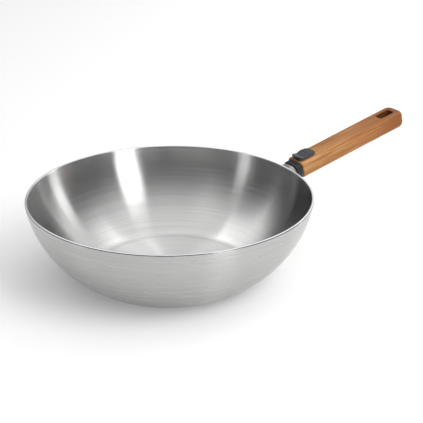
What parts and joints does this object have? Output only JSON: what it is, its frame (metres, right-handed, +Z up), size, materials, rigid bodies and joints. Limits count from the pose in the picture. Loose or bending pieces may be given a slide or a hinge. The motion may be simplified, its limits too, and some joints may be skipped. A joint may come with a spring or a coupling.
{
  "type": "wok",
  "caption": "Round-walled wok of bonded layered sheet with a flat base and a tilted wooden handle that slides off a welded tongue when a sprung slider is pulled back.",
  "frame": {"origin": "centre of the flat base, on the surface that the wok stands on", "axes": "+Z up, +X towards the handle, which leans up by 13.35 degrees"},
  "size_m": [0.4639, 0.3, 0.1254],
  "materials": {
    "brushed_steel": "brushed in rings around the bowl",
    "satin_steel": "satin",
    "spring_steel": "bright spring steel",
    "screw_steel": "bright",
    "wood": "oiled hardwood, grain along the grip",
    "grey_plastic": "fine matte",
    "slider_plastic": "fine matte, slightly blue",
    "black_rubber": "matte silicone rubber"
  },
  "bodies": {
    "wok": {"wok_bowl": "brushed_steel", "bracket_saddle": "satin_steel", "neck_shroud": "satin_steel", "docking_tongue": "satin_steel"},
    "handle": {"wooden_grip": "wood", "front_collar": "grey_plastic", "collar_seal": "black_rubber", "receiver_channel": "grey_plastic", "receiver_cover": "grey_plastic", "tongue_bumper": "black_rubber", "latch_leaf": "spring_steel", "leaf_rivets": "spring_steel", "spring_guide_pin": "spring_steel", "grip_screws": "screw_steel", "cover_screws": "screw_steel", "collar_screws": "screw_steel", "return_spring": "spring_steel"},
    "slider": {"release_slider": "slider_plastic", "slider_carriage": "grey_plastic", "slider_screws": "screw_steel"}
  },
  "joints": [
    {"name": "handle_release", "type": "slide", "parent": "wok", "child": "handle", "axis": [0.973, 0, 0.2309], "range_m": [0, 0.06], "deforming": ["latch_leaf"]},
    {"name": "slider_pull", "type": "slide", "parent": "handle", "child": "slider", "axis": [0.973, 0, 0.2309], "range_m": [0, 0.006], "stiffness_N_per_m": 300, "springref_m": -0.005, "deforming": ["return_spring", "latch_leaf"]}
  ]
}
